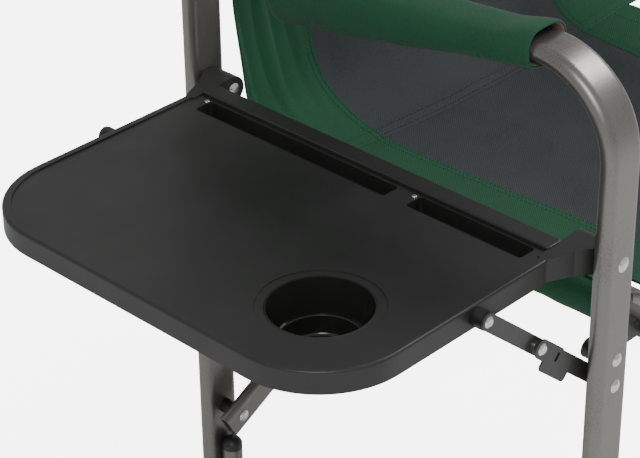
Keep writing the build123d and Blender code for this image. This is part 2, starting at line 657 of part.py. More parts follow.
for end_name, end in ENDS:
    turn = -end        # the sketch plane's Y points up the page on one end, down on the other

    # lower half, riveted to the leg
    with BuildPart() as lower_link:
        with BuildSketch(strut_plane(end, lower_link_y)):
            with Locations((link_lower / 2, 0)):
                SlotOverall(link_lower + link_width, link_width)
            with Locations((0, 0)):
                Circle(rivet_shank + bore_gap, mode=Mode.SUBTRACT)
            with Locations((link_lower, 0)):
                Circle(rivet_shank, mode=Mode.SUBTRACT)
        extrude(amount=link_thick)
    save(lower_link.part, f"{end_name}_strut_lower")

    # upper half, which turns on the table's boss
    with BuildPart() as upper_link:
        with BuildSketch(strut_plane(end, upper_link_y)):
            with Locations((link_lower + link_upper / 2, 0)):
                SlotOverall(link_upper + link_width, link_width)
            with Locations((link_lower, 0)):
                Circle(rivet_shank + bore_gap, mode=Mode.SUBTRACT)
            with Locations((link_lower + link_upper, 0)):
                Circle(rivet_shank, mode=Mode.SUBTRACT)
        extrude(amount=link_thick)
    save(upper_link.part, f"{end_name}_strut_upper")

    # rivet in the upper half's top hole
    with BuildPart() as top_rivet:
        with Locations(Plane(origin=(link_x, end * upper_link_y, hinge_z), z_dir=(0, end, 0))):
            Cylinder(rivet_shank, link_thick, align=(Align.CENTER, Align.CENTER, Align.MIN))
        with Locations(Plane(origin=(link_x, end * (upper_link_y + link_thick), hinge_z), z_dir=(0, end, 0))):
            Cone(4.6, 3.0, link_head, align=(Align.CENTER, Align.CENTER, Align.MIN))
    save(top_rivet.part, f"{end_name}_strut_top_rivet")

    # knee rivet, its washer between the halves
    with BuildPart() as knee:
        outer_end = latch_y + latch_thick + 0.1
        inner_end = upper_link_y - 0.15
        washer_y = upper_link_y + link_thick + 0.15
        with Locations(Plane(origin=(mid_x, end * inner_end, mid_z), z_dir=(0, end, 0))):
            Cylinder(rivet_shank, outer_end - inner_end, align=(Align.CENTER, Align.CENTER, Align.MIN))
        with Locations(Plane(origin=(mid_x, end * outer_end, mid_z), z_dir=(0, end, 0))):
            Cone(5.0, 3.4, link_head, align=(Align.CENTER, Align.CENTER, Align.MIN))
        with Locations(Plane(origin=(mid_x, end * inner_end, mid_z), z_dir=(0, -end, 0))):
            Cone(5.0, 3.2, 1.6, align=(Align.CENTER, Align.CENTER, Align.MIN))
        with Locations(Plane(origin=(mid_x, end * washer_y, mid_z), z_dir=(0, end, 0))):
            Cylinder(6, 1.5, align=(Align.CENTER, Align.CENTER, Align.MIN))
    save(knee.part, f"{end_name}_knee_rivet")

    # latch plate on the knee, stepped along its top edge, with a slot and a thumb tab below
    with BuildPart() as latch:
        with BuildSketch(strut_plane(end, latch_y)):
            with Locations(((latch_end + link_lower) / 2, 0)):
                Rectangle(link_lower - latch_end, 2 * latch_half)
            with Locations((link_lower, 0)):
                Circle(latch_half)
            with Locations((latch_end + 20, turn * (latch_tab - 6))):
                RectangleRounded(40, 12, 4)
            with Locations((latch_end + 10, turn * -latch_half)):
                Rectangle(20, 3, mode=Mode.SUBTRACT)
            with Locations((link_lower, 0)):
                Circle(rivet_shank + bore_gap, mode=Mode.SUBTRACT)
            with Locations((latch_end + 24, 0)):
                SlotOverall(8, 3.4, rotation=90, mode=Mode.SUBTRACT)
        extrude(amount=latch_thick)
    save(latch.part, f"{end_name}_latch")
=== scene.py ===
# %% [markdown]
# # A folding director chair with a side table
# The hard parts of the chair arrive finished, as a fixed frame: tubes, rivets, braces, plastic
# fittings and the table. This lesson gives each of them the finish of the real thing, and then
# sews the soft parts round them: the seat, the back and the padded arm sleeves.

# %% Load the frame
import json
import math
import bpy
from mathutils import Matrix, Vector, noise


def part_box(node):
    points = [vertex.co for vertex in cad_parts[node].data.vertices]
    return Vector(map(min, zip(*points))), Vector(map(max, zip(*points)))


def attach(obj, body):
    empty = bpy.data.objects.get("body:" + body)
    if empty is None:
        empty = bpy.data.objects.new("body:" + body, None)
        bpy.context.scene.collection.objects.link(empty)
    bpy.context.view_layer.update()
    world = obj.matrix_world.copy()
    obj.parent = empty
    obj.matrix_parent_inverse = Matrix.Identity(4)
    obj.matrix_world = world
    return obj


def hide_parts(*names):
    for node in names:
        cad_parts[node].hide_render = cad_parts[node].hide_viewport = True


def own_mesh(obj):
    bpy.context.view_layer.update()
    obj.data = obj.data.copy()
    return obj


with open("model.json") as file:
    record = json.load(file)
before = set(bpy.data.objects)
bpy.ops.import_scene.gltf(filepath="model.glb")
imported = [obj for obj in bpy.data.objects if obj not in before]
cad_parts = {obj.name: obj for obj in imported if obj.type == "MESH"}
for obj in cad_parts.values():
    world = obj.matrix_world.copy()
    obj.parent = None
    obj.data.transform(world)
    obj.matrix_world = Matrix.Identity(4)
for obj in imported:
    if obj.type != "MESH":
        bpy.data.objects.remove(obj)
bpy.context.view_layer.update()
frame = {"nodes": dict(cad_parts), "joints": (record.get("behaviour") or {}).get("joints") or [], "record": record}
nodes = frame["nodes"]

# %% [markdown]
# ## Colours and nodes
# A maker's colour card gives colours as hex, which is sRGB. Blender mixes light in linear
# values, so one function converts. Another adds one shader node: settings go in by name,
# and a socket given as an input is linked.

# %% Colour and node helpers
def linear(hex_colour):
    """A hex colour from a paint or fabric card, as linear RGBA."""
    parts = [int(hex_colour[i:i + 2], 16) / 255 for i in (1, 3, 5)]
    return [c / 12.92 if c <= 0.04045 else ((c + 0.055) / 1.055) ** 2.4 for c in parts] + [1.0]


def add(tree, kind, inputs=(), stops=(), **settings):
    """Add one node. inputs are (socket name or number, value or socket), and stops are
    (position, colour), for the two ends of a colour ramp."""
    node = tree.nodes.new("ShaderNode" + kind)
    for name, value in settings.items():
        setattr(node, name, value)
    for socket, value in inputs:
        if isinstance(value, bpy.types.NodeSocket):
            tree.links.new(value, node.inputs[socket])
        else:
            node.inputs[socket].default_value = value
    if stops:
        for element, (position, colour) in zip(node.color_ramp.elements, stops):
            element.position = position
            element.color = colour
    return node


def start_material(name, metallic, roughness):
    """An empty material with its shader, ready for a pattern."""
    finish = bpy.data.materials.new(name)
    finish.use_nodes = True
    shader = finish.node_tree.nodes["Principled BSDF"]
    shader.inputs["Metallic"].default_value = metallic
    shader.inputs["Roughness"].default_value = roughness
    return finish, finish.node_tree, shader


print("card green in linear:", [round(c, 3) for c in linear("#1E5A40")])

# %% [markdown]
# ## Powder-coated steel tube
# The frame is steel tube with a silver powder coat: mica flakes in a clear binder, sprayed on
# and baked. The eye gets a soft metal shine with a very slight orange peel, about 1.5 mm
# across, and small rub marks where the chair has been handled.

# %% Silver powder coat
MICA_FLAKE, HANDLED_PATCH, ORANGE_PEEL = 0.0011, 0.06, 0.0015  # metres across


def powder_coat(name, light, dark, roughness):
    finish, tree, shader = start_material(name, 0.82, roughness)
    place = add(tree, "TexCoord").outputs["Object"]
    flakes = add(tree, "TexNoise", [("Vector", place), ("Scale", 1 / MICA_FLAKE), ("Detail", 2.0)])
    clouds = add(tree, "TexNoise",
                 [("Vector", place), ("Scale", 1 / HANDLED_PATCH), ("Detail", 3.0)])
    blend = add(tree, "Math", [(0, flakes.outputs["Fac"]), (1, clouds.outputs["Fac"])],
                operation="ADD")
    tone = add(tree, "ValToRGB", [("Fac", blend.outputs[0])],
               [(0.75, linear(dark)), (1.25, linear(light))])
    tree.links.new(tone.outputs["Color"], shader.inputs["Base Color"])
    rub = add(tree, "MapRange", [("Value", clouds.outputs["Fac"]), ("From Min", 0.35),
                                 ("From Max", 0.7), ("To Min", roughness - 0.05),
                                 ("To Max", roughness + 0.07)])
    tree.links.new(rub.outputs["Result"], shader.inputs["Roughness"])
    peel = add(tree, "TexNoise", [("Vector", place), ("Scale", 1 / ORANGE_PEEL), ("Detail", 1.0)])
    bump = add(tree, "Bump", [("Height", peel.outputs["Fac"]), ("Strength", 0.12),
                              ("Distance", 0.0002)])
    tree.links.new(bump.outputs["Normal"], shader.inputs["Normal"])
    return finish


silver_coat = powder_coat("silver_powder_coat", "#807C78", "#6E6A67", 0.34)
print("made", silver_coat.name)

# %% [markdown]
# ## Moulded black nylon and zinc-plated rivets
# Caps, saddles and knuckles are injection-moulded nylon. The mould is spark-eroded, so the skin
# has a fine grain, about 0.6 mm. The rivets are steel with bright zinc plate, slightly uneven
# where the rivet die has pressed them.

# %% Nylon and zinc
SPARK_GRAIN, FLOW_MARK, DIE_MARK = 0.0006, 0.08, 0.002  # metres across
FLOW_LIFT = 1.35  # how much lighter the plastic is where it flowed thin


def moulded(name, colour, roughness, grain, depth):
    finish, tree, shader = start_material(name, 0.0, roughness)
    shader.inputs["IOR"].default_value = 1.5
    place = add(tree, "TexCoord").outputs["Object"]
    sparks = add(tree, "TexNoise", [("Vector", place), ("Scale", 1 / grain), ("Detail", 2.0)])
    flow = add(tree, "TexNoise", [("Vector", place), ("Scale", 1 / FLOW_MARK), ("Detail", 2.0)])
    low, high = linear(colour), [c * FLOW_LIFT for c in linear(colour)[:3]] + [1.0]
    tone = add(tree, "ValToRGB", [("Fac", flow.outputs["Fac"])], [(0.35, low), (0.7, high)])
    tree.links.new(tone.outputs["Color"], shader.inputs["Base Color"])
    bump = add(tree, "Bump", [("Height", sparks.outputs["Fac"]), ("Strength", 0.35),
                              ("Distance", depth)])
    tree.links.new(bump.outputs["Normal"], shader.inputs["Normal"])
    return finish, tree, shader


black_nylon = moulded("moulded_black_nylon", "#161616", 0.42, SPARK_GRAIN, 0.0001)[0]

zinc_plate, zinc_tree, zinc_shader = start_material("bright_zinc_plate", 1.0, 0.27)
zinc_place = add(zinc_tree, "TexCoord").outputs["Object"]
die_marks = add(zinc_tree, "TexNoise",
                [("Vector", zinc_place), ("Scale", 1 / DIE_MARK), ("Detail", 2.0)])
zinc_tone = add(zinc_tree, "ValToRGB", [("Fac", die_marks.outputs["Fac"])],
                [(0.3, linear("#C2C0BC")), (0.7, linear("#F0EEEA"))])
zinc_tree.links.new(zinc_tone.outputs["Color"], zinc_shader.inputs["Base Color"])
print("made", black_nylon.name, "and", zinc_plate.name)

# %% [markdown]
# ## Painted strut steel
# The table's struts and latches are stamped steel strip with a dark grey satin enamel, dipped
# and baked. It looks almost black, with a broad soft shine and faint dust.

# %% Satin enamel
DUST_SPECK = 0.004  # metres across
strut_paint, paint_tree, paint_shader = start_material("dark_satin_enamel", 0.0, 0.38)
paint_shader.inputs["Base Color"].default_value = linear("#2C2C2B")
paint_place = add(paint_tree, "TexCoord").outputs["Object"]
dust = add(paint_tree, "TexNoise",
           [("Vector", paint_place), ("Scale", 1 / DUST_SPECK), ("Detail", 3.0)])
satin = add(paint_tree, "MapRange",
            [("Value", dust.outputs["Fac"]), ("To Min", 0.3), ("To Max", 0.46)])
paint_tree.links.new(satin.outputs["Result"], paint_shader.inputs["Roughness"])
print("made", strut_paint.name)

# %% [markdown]
# ## The table's polypropylene
# The table is one black polypropylene moulding. Its top has a fine leather-like grain, about
# 0.9 mm, that scatters light, while the inside of the cup holder came off a polished core and
# is glossy. The same material finds the cup by its distance from the cup's axis.

# %% Table plastic
CUP_OUT, CUP_FORWARD = 0.2008, 0.1114  # the cup's axis from the hinge, and from the middle
CUP_SHINE = 0.0412  # the polished core's radius
LEATHER_GRAIN, SMEAR = 0.0009, 0.05  # metres across
hinge_low, hinge_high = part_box("table_hinge_pins")
hinge_x = (hinge_low.x + hinge_high.x) / 2
hinge_z = (hinge_low.z + hinge_high.z) / 2
cup_axis = Vector((hinge_x - CUP_OUT, -CUP_FORWARD, 0))
table_plastic, table_tree, table_shader = moulded("grained_polypropylene", "#1D1D1C", 0.42,
                                                  LEATHER_GRAIN, 0.00014)
table_place = add(table_tree, "TexCoord").outputs["Object"]
flat_place = add(table_tree, "VectorMath", [(0, table_place), (1, (1, 1, 0))],
                 operation="MULTIPLY")
from_cup = add(table_tree, "VectorMath", [(0, flat_place.outputs[0]), (1, cup_axis)],
               operation="DISTANCE")
in_cup = add(table_tree, "Math", [(0, from_cup.outputs["Value"]), (1, CUP_SHINE)],
             operation="LESS_THAN")
smears = add(table_tree, "TexNoise",
             [("Vector", table_place), ("Scale", 1 / SMEAR), ("Detail", 4.0)])
top_sheen = add(table_tree, "MapRange", [("Value", smears.outputs["Fac"]), ("From Min", 0.3),
                                         ("From Max", 0.7), ("To Min", 0.40), ("To Max", 0.50)])
gloss = add(table_tree, "Mix",
            [("Factor", in_cup.outputs[0]), (2, top_sheen.outputs["Result"]), (3, 0.16)])
table_tree.links.new(gloss.outputs[0], table_shader.inputs["Roughness"])
print("cup axis at", [round(v, 4) for v in cup_axis])

# %% [markdown]
# ## Woven polyester
# Seat, back and sleeves are 600-denier polyester in a plain weave, with threads about 0.5 mm
# apart. That is too fine to show when the whole chair is in view, so the weave is drawn at
# 1.3 mm. Each cloth piece carries its own flat pattern in its UV map, in metres, and the weave
# follows it, as real threads do. Sheen gives the soft glow that fibres have at a grazing angle.

# %% Green and grey cloth
CLOTH_THREAD, FELT_TUFT, SEWING_PLY = 0.0013, 0.0021, 0.0009  # metres from one to the next
SLUB, FADED_PATCH = 0.003, 0.05  # metres across


def woven(name, lit, shaded, thread, roughness=0.82):
    finish, tree, shader = start_material(name, 0.0, roughness)
    shader.inputs["Sheen Weight"].default_value = 0.06
    shader.inputs["Sheen Roughness"].default_value = 0.4
    flat = add(tree, "UVMap").outputs[0]
    turns = add(tree, "VectorMath", [(0, flat), (1, (math.pi / thread, math.pi / thread, 0))],
                operation="MULTIPLY")
    split = add(tree, "SeparateXYZ", [(0, turns.outputs[0])])
    warp = add(tree, "Math", [(0, split.outputs["X"])], operation="SINE")
    weft = add(tree, "Math", [(0, split.outputs["Y"])], operation="SINE")
    over = add(tree, "Math", [(0, warp.outputs[0]), (1, weft.outputs[0])],
               operation="MULTIPLY")
    slub = add(tree, "TexNoise", [("Vector", flat), ("Scale", 1 / SLUB), ("Detail", 3.0)])
    fade = add(tree, "TexNoise", [("Vector", flat), ("Scale", 1 / FADED_PATCH), ("Detail", 3.0)])
    mixed = add(tree, "Math", [(0, slub.outputs["Fac"]), (1, fade.outputs["Fac"])],
                operation="ADD")
    # The colour runs from the cloth's shaded tone to its lit tone: the threads that lie under get painted shade,
    # as in the weave's hollows, and slubs and faded patches move it at random.
    weave_shade_and_tone = add(tree, "Math", [(0, over.outputs[0]), (1, 0.09), (2, mixed.outputs[0])],
               operation="MULTIPLY_ADD")
    tone = add(tree, "ValToRGB", [("Fac", weave_shade_and_tone.outputs[0])],
               [(0.55, linear(shaded)), (1.45, linear(lit))])
    tree.links.new(tone.outputs["Color"], shader.inputs["Base Color"])
    bump = add(tree, "Bump", [("Height", over.outputs[0]), ("Strength", 0.45),
                              ("Distance", 0.0003)])
    tree.links.new(bump.outputs["Normal"], shader.inputs["Normal"])
    return finish


green_cloth = woven("woven_green_polyester", "#06482B", "#043A21", CLOTH_THREAD)
grey_cloth = woven("woven_grey_polyester", "#2F3437", "#23282B", CLOTH_THREAD)
brown_felt = woven("brown_felt_lining", "#857568", "#453A33", FELT_TUFT, 0.95)
green_thread = woven("green_sewing_thread", "#1F6E4A", "#145236", SEWING_PLY)
grey_thread = woven("grey_sewing_thread", "#43484B", "#33383B", SEWING_PLY)
print("cloths:", green_cloth.name, grey_cloth.name, brown_felt.name)

# %% [markdown]
# ## Dress the hard parts
# Each hard part already has the right shape, so it only needs its finish.

# %% Assign finishes to the frame
FINISHES = {"silver_tube": silver_coat, "black_plastic": black_nylon, "zinc_rivet": zinc_plate,
            "black_strut": strut_paint, "table_plastic": table_plastic}
slot_of = {row["node"]: row["material_slot"] for row in frame["record"]["subparts"]}
for name, part in nodes.items():
    if slot_of[name] in FINISHES:
        part.data.materials.clear()
        part.data.materials.append(FINISHES[slot_of[name]])
print("dressed", sum(s in FINISHES for s in slot_of.values()), "of", len(nodes), "parts")

# %% [markdown]
# ## Where the cloth goes
# The cloth hangs on four things: two rails under the seat and two posts behind the back. Their
# centres come from the frame. Lengths across the chair are counted from the right post, and a
# small function turns them into places.

# %% Rails and posts
CLOTH_OVER_RAIL = 0.0165  # the seat's cloth lies this far above the rails' centres


def centre(node):
    low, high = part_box(node)
    return (low + high) / 2


right_post, left_post = centre("right_rear_post"), centre("left_rear_post")
right_rail, left_rail = centre("right_seat_rail"), centre("left_seat_rail")
post_gap = left_post.x - right_post.x
rail_in = right_rail.x - right_post.x
cloth_top = right_rail.z + CLOTH_OVER_RAIL
rail_gap = left_rail.x - right_rail.x
print("posts", round(post_gap, 3), "m apart, rails", round(rail_gap, 3), "m apart")

# %% [markdown]
# ## A sheet of cloth from a function
# A cloth panel is a grid of points. Its shape comes from a function of two numbers: how far
# across and how far along. The grid keeps its flat pattern as a UV map, and a solidify
# modifier gives it the thickness of doubled cloth. Wrinkles are smooth noise, which is the
# same on every run.

# %% Panel builder
SINGLE_CLOTH, BAND_CLOTH = 0.0016, 0.0022  # thickness of the centre and of the green bands
RIM_ANGLE = 60  # degrees, beyond which an edge is shaded as a sharp rim


def finish_mesh(name, mesh, material, modifiers=()):
    """Make an object of a mesh, apply the modifiers in turn, and shade it smooth."""
    piece = bpy.data.objects.new(name, mesh)
    bpy.context.scene.collection.objects.link(piece)
    for kind, settings in modifiers:
        modifier = piece.modifiers.new(kind.title(), kind)
        for key, value in settings.items():
            setattr(modifier, key, value)
    bpy.context.view_layer.update()
    evaluated = piece.evaluated_get(bpy.context.evaluated_depsgraph_get())
    made = bpy.data.meshes.new_from_object(evaluated)
    piece.modifiers.clear()
    piece.data = made
    made.materials.clear()
    made.materials.append(material)
    made.polygons.foreach_set("use_smooth", [True] * len(made.polygons))
    return piece


def panel(name, shape, across, along, columns, rows, material,
          thickness=SINGLE_CLOTH):
    """A cloth panel. across(t) gives its two edges at t, and shape(x, s) the place of x, s."""
    points, flats, faces = [], [], []
    for j in range(rows + 1):
        s = along[0] + (along[1] - along[0]) * j / rows
        first, last = across(s)
        for i in range(columns + 1):
            x = first + (last - first) * i / columns
            points.append(shape(x, s))
            flats.append((x, s))
    for j in range(rows):
        for i in range(columns):
            k = j * (columns + 1) + i
            faces.append((k, k + 1, k + columns + 2, k + columns + 1))
    mesh = bpy.data.meshes.new(name)
    mesh.from_pydata(points, [], faces)
    layer = mesh.uv_layers.new(name="flat_pattern")
    for loop in mesh.loops:
        layer.data[loop.index].uv = flats[loop.vertex_index]
    piece = finish_mesh(name, mesh, material,
                        [("SOLIDIFY", {"thickness": thickness, "offset": 0})])
    piece.data.set_sharp_from_angle(angle=math.radians(RIM_ANGLE))
    return piece


def smooth(t):
    """0 below 0, 1 above 1, and an easy slope between."""
    t = min(1.0, max(0.0, t))
    return t * t * (3 - 2 * t)


def ruffle(x, y, size, seed=0.0):
    """Smooth noise from about -1 to 1, for wrinkles of that size."""
    return noise.noise(Vector((x / size, y / size, seed)))


print("ruffle at the origin:", round(ruffle(0.1, 0.2, 0.05), 3))

# %% [markdown]
# ## The seat
# The seat is a doubled cloth stretched between two rail sleeves. It sags most in the middle,
# and wrinkles run in from the corners where the sleeves end. A grey centre is sewn to green side
# bands, which grow a little wider towards the front.

# %% Seat shape
SEAT_FRONT, SEAT_BACK = -0.192, 0.138
SEAT_RUN = (SEAT_FRONT, SEAT_BACK)
SEAT_SAG = 0.016
SEAM_LAP = 0.003  # how far a green band reaches over the grey centre


def seam_at(s):
    """Distance from the right post to the seam between green and grey, on the seat."""
    return 0.1225 + 0.0135 * (SEAT_BACK - s) / 0.228


def seat_shape(x, y):
    """Place of the seat's cloth, x across from the right post and y along the chair."""
    reach = (x - post_gap / 2) / (post_gap / 2 - rail_in)
    hang = max(0.0, 1 - reach * reach)
    corner = smooth((abs(reach) - 0.55) / 0.45) * smooth((abs(y) - 0.08) / 0.1)
    wrinkle = 0.0016 * ruffle(x, 2.2 * y, 0.055, 3.1) * hang
    wrinkle += 0.0028 * ruffle(x * 1.4 + y, x - y * 1.2, 0.034, 7.7) * corner
    front = 0.004 * smooth((-0.15 - y) / 0.04)
    sag = SEAT_SAG * hang * (1 - 0.25 * smooth((y - 0.05) / 0.1))
    z = cloth_top - sag + wrinkle * hang + front * hang
    return Vector((right_post.x + x, y, z))


print("seat's lowest point:", round(seat_shape(post_gap / 2, 0).z, 4), "m")

# %% Seat pieces
def seat_edge(s):
    """Outer edge of the right band: over the rail, but notched beside the front fittings."""
    return rail_in + 0.023 * smooth((-0.1705 - s) / 0.002)


def seat_centre_span(s):
    return seam_at(s), post_gap - seam_at(s)


def seat_right_span(s):
    return seat_edge(s), seam_at(s) + SEAM_LAP


def seat_left_span(s):
    return post_gap - seam_at(s) - SEAM_LAP, post_gap - seat_edge(s)


seat_grey = panel("seat_centre", seat_shape, seat_centre_span, SEAT_RUN, 76, 84, grey_cloth)
seat_right = panel("seat_right_band", seat_shape, seat_right_span, SEAT_RUN, 18, 120,
                   green_cloth, BAND_CLOTH)
seat_left = panel("seat_left_band", seat_shape, seat_left_span, SEAT_RUN, 18, 120,
                  green_cloth, BAND_CLOTH)
print("seat panels:", seat_grey.name, seat_right.name, seat_left.name)

# %% [markdown]
# ## The back
# The back's cloth starts at a double seam on the seat's rear edge, curves up behind the sitter
# and runs to the top of the posts. Below the post sleeves its sides hang free, so they fall in
# soft upright folds. The green side bands follow the cloth round the curve.

# %% Back shape
PROFILE = [(0.128, 0.0), (0.150, 0.003), (0.170, 0.011), (0.187, 0.027), (0.198, 0.050),
           (0.2040, 0.080), (0.2068, 0.115), (0.2078, 0.160), (0.2083, 0.22),
           (0.2083, 0.30), (0.2083, 0.389)]  # backwards and up from the seat's rear edge
lengths = [0.0]
for (y0, z0), (y1, z1) in zip(PROFILE, PROFILE[1:]):
    lengths.append(lengths[-1] + math.hypot(y1 - y0, z1 - z0))
BACK_LENGTH = lengths[-1]
FOLD_PITCH = 0.036  # from one hanging fold to the next
RIGHT_INSET, LEFT_INSET, SLEEVE_INSET = 0.0255, 0.006, 0.0235  # the free edges from the posts


def profile_at(s):
    """Place and slope of the back's side view, s along the cloth from the seat seam."""
    s = min(max(s, 0.0), BACK_LENGTH)
    k = max(i for i in range(len(lengths) - 1) if lengths[i] <= s)
    t = (s - lengths[k]) / (lengths[k + 1] - lengths[k])
    ends = [PROFILE[max(0, min(len(PROFILE) - 1, k + d))] for d in (-1, 0, 1, 2)]
    out = []
    for a, b, c, d in zip(*ends):
        bend = 2 * a - 5 * b + 4 * c - d + t * (3 * (b - c) + d - a)
        out.append(b + 0.5 * t * (c - a + t * bend))
    return out


def back_seam_at(s):
    """Distance from the right post to the seam between green and grey, on the back."""
    return 0.125 - 0.014 * smooth(s / 0.11)


def back_shape(x, s):
    """Place of the back's cloth, x across from the right post and s along the cloth."""
    y, z = profile_at(s)
    side = min(x, post_gap - x)
    loose = smooth((0.13 - side) / 0.08) * smooth((0.24 - s) / 0.1) * smooth((s - 0.02) / 0.06)
    fold = 0.0042 * math.sin(2 * math.pi * (side + 0.12 * (s - 0.1)) / FOLD_PITCH) * loose
    fold += 0.0035 * ruffle(x, s * 0.35, 0.03, 1.9) * loose
    span = 1 - ((x - post_gap / 2) / (post_gap / 2)) ** 2
    belly = 0.006 * span * smooth(s / 0.2) * smooth((BACK_LENGTH - s) / 0.25)
    crease = 0.0016 * ruffle(x * 0.6, s, 0.06, 5.3) * smooth(s / 0.06)
    on_seat = smooth((0.06 - s) / 0.06)
    rise = cloth_top + 0.002 + z
    seated = seat_shape(x, min(y, SEAT_BACK)).z + 0.0003 + 0.0015 * smooth(s / 0.01) + z
    rise += (seated - rise) * on_seat
    depth = y - 0.0012 - abs(fold) * 0.6 + fold * 0.2 + belly + crease
    return Vector((right_post.x + x, depth, rise))


def back_edge(s, inset=RIGHT_INSET):
    """The back's free side edge, inset from the post until the post's sleeve begins."""
    beside_post = inset + (SLEEVE_INSET - inset) * smooth((s - 0.17) / 0.05)
    return beside_post - RIGHT_INSET * smooth((s - 0.252) / 0.010)


print("back cloth is", round(BACK_LENGTH, 3), "m from seat seam to top")

# %% [markdown]
# The cloth is built in two runs that meet without a step. The lower one, the curve behind the
# sitter, moves with the seat's rails when the chair folds, and the upper one stays on the posts.

# %% Back pieces
CURVE_END = 0.103  # along the cloth, where the curve passes into the upright back
RUN_LAP = 0.0006
ROW_STEP = 0.0033
BACK_RUNS = {"curve": (0.0, CURVE_END), "back": (CURVE_END - RUN_LAP, BACK_LENGTH)}


def back_centre_span(s):
    return back_seam_at(s), post_gap - back_seam_at(s)


def back_right_span(s):
    return back_edge(s), back_seam_at(s) + SEAM_LAP


def back_left_span(s):
    return post_gap - back_seam_at(s) - SEAM_LAP, post_gap - back_edge(s, LEFT_INSET)


back_panels = {}
for run, along in BACK_RUNS.items():
    rows = round((along[1] - along[0]) / ROW_STEP)
    back_panels[run] = [
        panel(run + "_centre", back_shape, back_centre_span, along, 76, rows, grey_cloth),
        panel(run + "_right_band", back_shape, back_right_span, along, 44, round(rows * 1.3),
              green_cloth, BAND_CLOTH),
        panel(run + "_left_band", back_shape, back_left_span, along, 44, round(rows * 1.3),
              green_cloth, BAND_CLOTH),
    ]
    print(run, "panels:", [piece.name for piece in back_panels[run]])

# %% [markdown]
# ## Sleeves
# A sleeve is a cloth tube: a ring of points swept along a rail, post or arm. Each ring may
# change size and shape on the way. The rim is turned in, so the ring at each end rolls over
# into a second, inner wall, which gives the thick hem that the eye expects.

# %% Sleeve builder
# The rolled hem: how far each ring lies inwards and outwards, counted in hem widths.
HEM_ROLL = ((0.6, 0.8), (1.6, 0.6), (2.0, -0.6), (2.0, -14))


def sleeve(name, rings, material, lining=None, hem=0.002):
    """A tube of cloth through rings of points, its two ends rolled in over a hem."""
    count = len(rings[0])
    walls = []
    for index, step in ((0, 1), (-1, -1)):
        ring = rings[index]
        middle = sum(ring, Vector()) / count
        away = (middle - sum(rings[index + step], Vector()) / count).normalized()
        lips = []
        for shrink, out in HEM_ROLL:
            lips.append([p + (middle - p).normalized() * hem * shrink + away * hem * out
                         for p in ring])
        walls.append(lips)
    order = walls[0][::-1] + rings + walls[1]
    points = [p for ring in order for p in ring]
    lined = (len(walls[0]) - 1, len(order) - len(walls[1]))
    faces, felt = [], []
    run, flats = 0.0, []
    for j, ring in enumerate(order):
        if j:
            run += (ring[0] - order[j - 1][0]).length
        turn = 0.0
        for i, p in enumerate(ring):
            if i:
                turn += (p - ring[i - 1]).length
            flats.append((turn, run))
    for j in range(len(order) - 1):
        for i in range(count):
            a, b = j * count + i, j * count + (i + 1) % count
            faces.append((a, b, b + count, a + count))
            felt.append(1 if lining and (j < lined[0] - 1 or j > lined[1]) else 0)
    mesh = bpy.data.meshes.new(name)
    mesh.from_pydata(points, [], faces)
    layer = mesh.uv_layers.new(name="flat_pattern")
    for loop in mesh.loops:
        layer.data[loop.index].uv = flats[loop.vertex_index]
    piece = finish_mesh(name, mesh, material, [("SUBSURF", {"levels": 1})])
    if lining:
        piece.data.materials.append(lining)
        for polygon in piece.data.polygons:
            polygon.material_index = felt[polygon.index // 4]
    return piece


def ring_round(middle, across, up, half_wide, top, bottom, power, count, crinkle):
    """A ring of points, squarish by power, round middle; crinkle(angle) moves it out."""
    ring = []
    for i in range(count):
        angle = 2 * math.pi * i / count
        c, s = math.cos(angle), math.sin(angle)
        wide = math.copysign(abs(c) ** (2 / power), c) * half_wide
        tall = math.copysign(abs(s) ** (2 / power), s) * (top if s > 0 else bottom)
        move = 1 + crinkle(angle)
        ring.append(middle + across * wide * move + up * tall * move)
    return ring


print("sleeve builder ready")

# %% [markdown]
# ## Arm sleeves
# The arm sleeve is padded: snug and full at the front, where it ends in a thick rolled rim
# with felt lining showing inside. Towards the back it hangs deeper under the tube, because
# the pad has slipped and the cloth is loose there.

# %% Arm sleeves
ARM_FRONT, ARM_REAR, ARM_RISE = -0.1439, 0.197, 5  # the straight run's ends, and its degrees
SLEEVE_START, SLEEVE_STOP = -0.005, 0.262  # along the arm from its front bend
ARM_RINGS = 52


def arm_line(side):
    """The arm tube's straight run, as (front point, rear point) of its centre line."""
    low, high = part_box(side + "_leg_and_arm")
    x = (low.x + high.x) / 2
    rear_z = centre(side + "_arm_socket").z
    slope = math.tan(math.radians(ARM_RISE))
    front_z = rear_z + slope * (ARM_REAR - ARM_FRONT)
    return Vector((x, ARM_FRONT, front_z)), Vector((x, ARM_REAR, rear_z))


def arm_sleeve(side, seed):
    front, rear = arm_line(side)
    along = (rear - front).normalized()
    up = along.cross(Vector((-1, 0, 0)))
    rings = []
    for j in range(ARM_RINGS + 1):
        t = j / ARM_RINGS
        spot = front + along * (SLEEVE_START + (SLEEVE_STOP - SLEEVE_START) * t)
        hang = 0.004 + 0.022 * smooth(t * 1.1)
        def crinkle(angle):
            under = max(0.0, -math.sin(angle))
            creases = 0.03 * ruffle(math.cos(angle) * 0.02 + t * 0.12, angle * 0.006, 0.016, seed)
            waves = 0.02 * ruffle(t * 0.26, angle * 0.01, 0.05, seed + 4)
            return (0.25 + under) * creases + waves
        narrow = 0.0236 - 0.001 * t
        flare = smooth(1 - t / 0.16)
        above, below = 0.0128 + 0.0060 * flare, 0.0122 + hang - 0.0026 * flare
        rings.append(ring_round(spot, Vector((1, 0, 0)), up, narrow, above, below, 2.7, 56,
                                crinkle))
    piece = sleeve("arm_sleeve_" + side, rings, green_cloth, brown_felt, 0.0019)
    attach(piece, side + "_frame")
    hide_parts(side + "_arm_sleeve")
    return piece


for side, seed in (("right", 2.0), ("left", 9.0)):
    made = arm_sleeve(side, seed)
    print(made.name, len(made.data.vertices), "points")

# %% [markdown]
# ## Rail and post sleeves
# The seat's side hems are sewn into loose tubes that the rails slide through, and the back's
# side hems into flatter ones over the posts. Both are a little too big for their tubes, so
# they crease.

